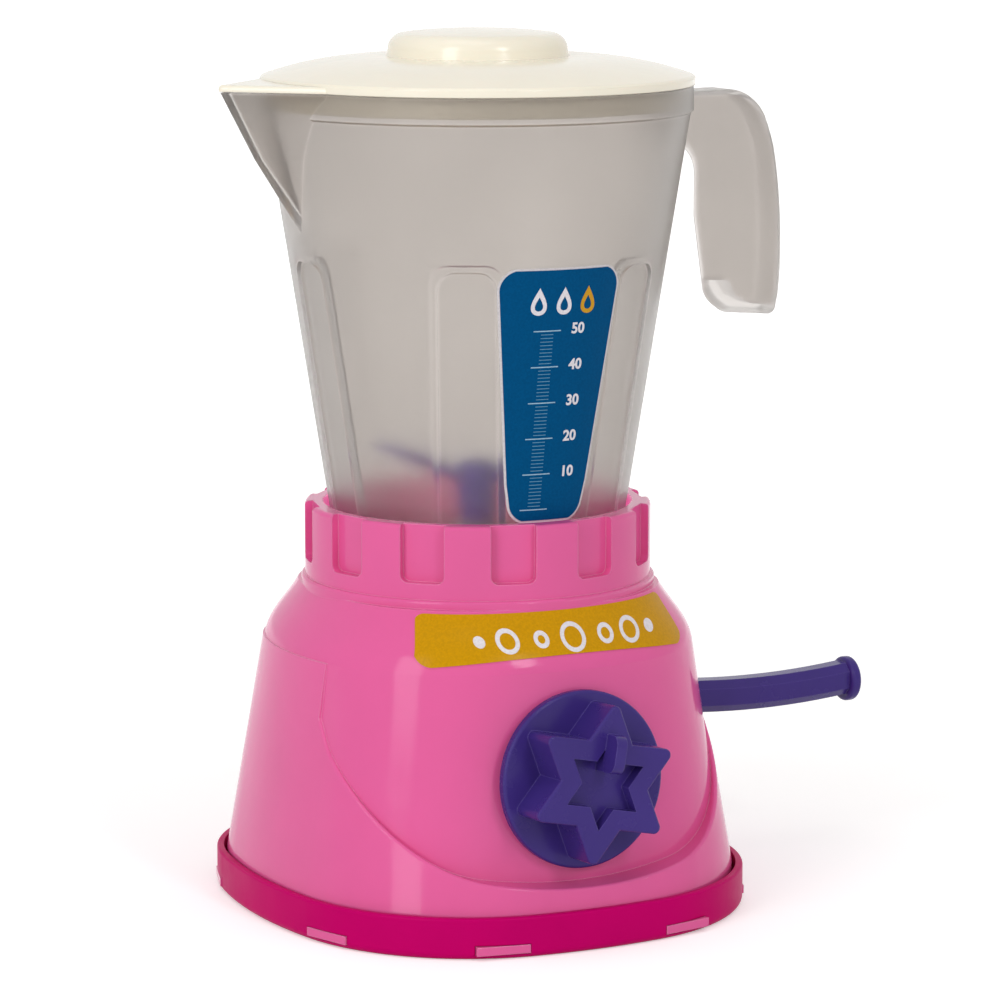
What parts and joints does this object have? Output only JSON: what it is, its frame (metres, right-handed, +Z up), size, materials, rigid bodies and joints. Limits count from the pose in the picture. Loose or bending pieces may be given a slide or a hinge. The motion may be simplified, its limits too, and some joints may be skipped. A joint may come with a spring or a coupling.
{
  "type": "toy blender",
  "caption": "Hand-worked toy blender: moulded base with star knob and side lever, jug with spout and hook handle, domed lid and geared blade.",
  "frame": {"origin": "middle of the tray's underside, which is the plane the toy rests on; the spindle and jug share its vertical axis", "axes": "+Z up, -Y towards the front with the knob, -X towards the spout, +X towards the jug's handle and the lever"},
  "size_m": [0.2026, 0.1573, 0.2454],
  "materials": {
    "tray_plastic": "moulded, satin gloss magenta",
    "shell_plastic": "moulded, glossy pink",
    "yellow_sticker": "printed film, glossy yellow",
    "blue_sticker": "printed film, satin blue with pale scale",
    "purple_plastic": "moulded, satin gloss purple",
    "frosted_plastic": "moulded, frosted and translucent",
    "cream_plastic": "moulded, glossy cream",
    "inner_plastic": "moulded, natural white",
    "screw_steel": "zinc plated"
  },
  "bodies": {
    "base": {"base_shell": "shell_plastic", "bottom_tray": "tray_plastic", "base_label": "yellow_sticker", "mechanism_plate": "inner_plastic", "plate_screws": "screw_steel", "lever_washer": "screw_steel", "lever_screw": "screw_steel"},
    "knob": {"knob": "purple_plastic", "knob_washer": "screw_steel", "knob_screw": "screw_steel"},
    "lever": {"lever": "purple_plastic"},
    "spindle": {"drive_spindle": "inner_plastic", "spindle_clip": "screw_steel"},
    "jug": {"jug": "frosted_plastic", "jug_label": "blue_sticker", "blade_bush": "inner_plastic"},
    "blade": {"blade": "purple_plastic", "blade_coupling": "inner_plastic", "blade_washer": "inner_plastic"},
    "lid": {"lid": "cream_plastic"}
  },
  "joints": [
    {"name": "knob_turn", "type": "hinge", "parent": "base", "child": "knob", "pos_m": [0, -0.06073, 0.045], "axis": [0, -0.9976, 0.0686], "continuous": true},
    {"name": "lever_swing", "type": "hinge", "parent": "base", "child": "lever", "pos_m": [0.03, 0, 0.05], "axis": [0, 0, 1], "range_deg": [-20, 20]},
    {"name": "spindle_spin", "type": "hinge", "parent": "base", "child": "spindle", "pos_m": [0, 0, 0.07], "axis": [0, 0, 1], "range_deg": [-60, 60]},
    {"name": "jug_lift", "type": "slide", "parent": "base", "child": "jug", "axis": [0, 0, 1], "range_m": [0, 0.04]},
    {"name": "blade_spin", "type": "hinge", "parent": "jug", "child": "blade", "pos_m": [0, 0, 0.11], "axis": [0, 0, 1], "range_deg": [-60, 60]},
    {"name": "lid_lift", "type": "slide", "parent": "jug", "child": "lid", "axis": [0, 0, 1], "range_m": [0, 0.03]}
  ],
  "couplings": [
    {"joint": "spindle_spin", "follows": "lever_swing", "ratio": -3},
    {"joint": "blade_spin", "follows": "lever_swing", "ratio": -3}
  ]
}
